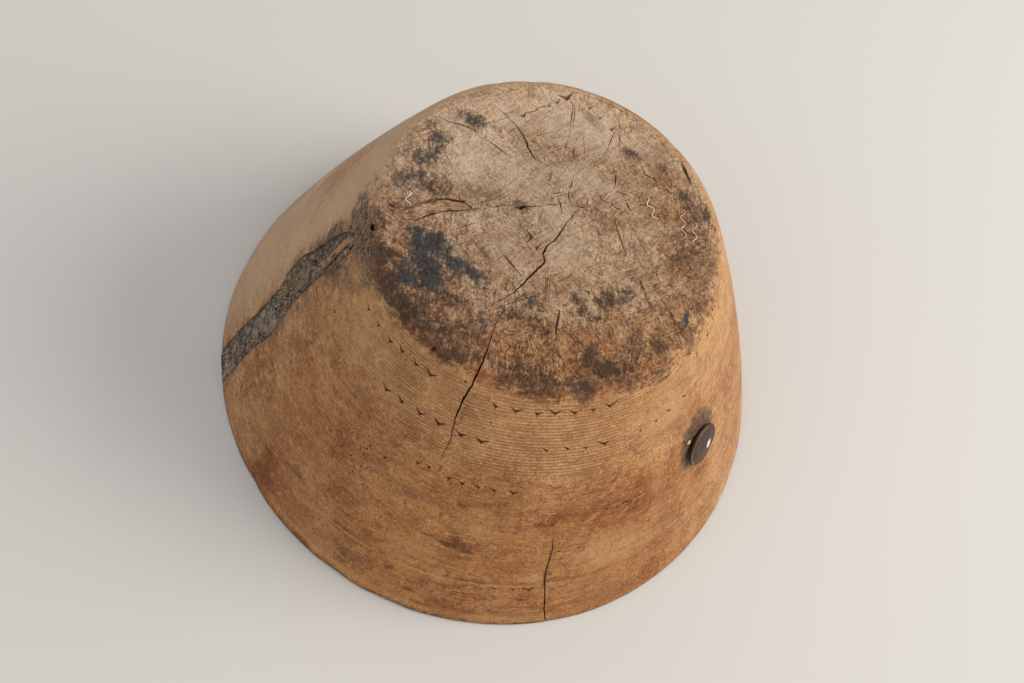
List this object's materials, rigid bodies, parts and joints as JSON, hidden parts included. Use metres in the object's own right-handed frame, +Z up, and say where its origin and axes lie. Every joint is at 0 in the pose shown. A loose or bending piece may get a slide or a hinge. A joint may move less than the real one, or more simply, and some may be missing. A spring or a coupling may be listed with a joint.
{
  "type": "deep turned wooden bowl",
  "caption": "Deep cone-shaped bowl turned from one log, stored mouth down, with a filled side split, iron strips across the cracked foot and a rivet through the wall.",
  "frame": {"origin": "centre of the plane that the rim rests on, with the bowl standing mouth down", "axes": "+Z up out of the foot along the turning axis; -Y towards the side with the long open crack; -X towards the side with the filled split"},
  "size_m": [0.3586, 0.3586, 0.189],
  "materials": {
    "turned_wood": "dry turned wood with fine tool lines, worn smooth, stained dark at the foot",
    "split_filler": "coarse grey-brown filler of pitch and wood dust, matt and pitted",
    "sliver_wood": "rough split wood, dry",
    "strip_iron": "thin iron strip, worn bright on its edge, rusted at its ends",
    "rivet_iron": "brown rusted iron, polished by handling"
  },
  "bodies": {
    "root": {"bowl_body": "turned_wood", "side_seam_filler": "split_filler", "foot_crack_filler": "sliver_wood", "corrugated_fastener_1": "strip_iron", "corrugated_fastener_2": "strip_iron", "corrugated_fastener_3": "strip_iron", "corrugated_fastener_4": "strip_iron", "rivet": "rivet_iron", "inner_washer": "rivet_iron", "small_nail": "strip_iron"}
  },
  "joints": []
}
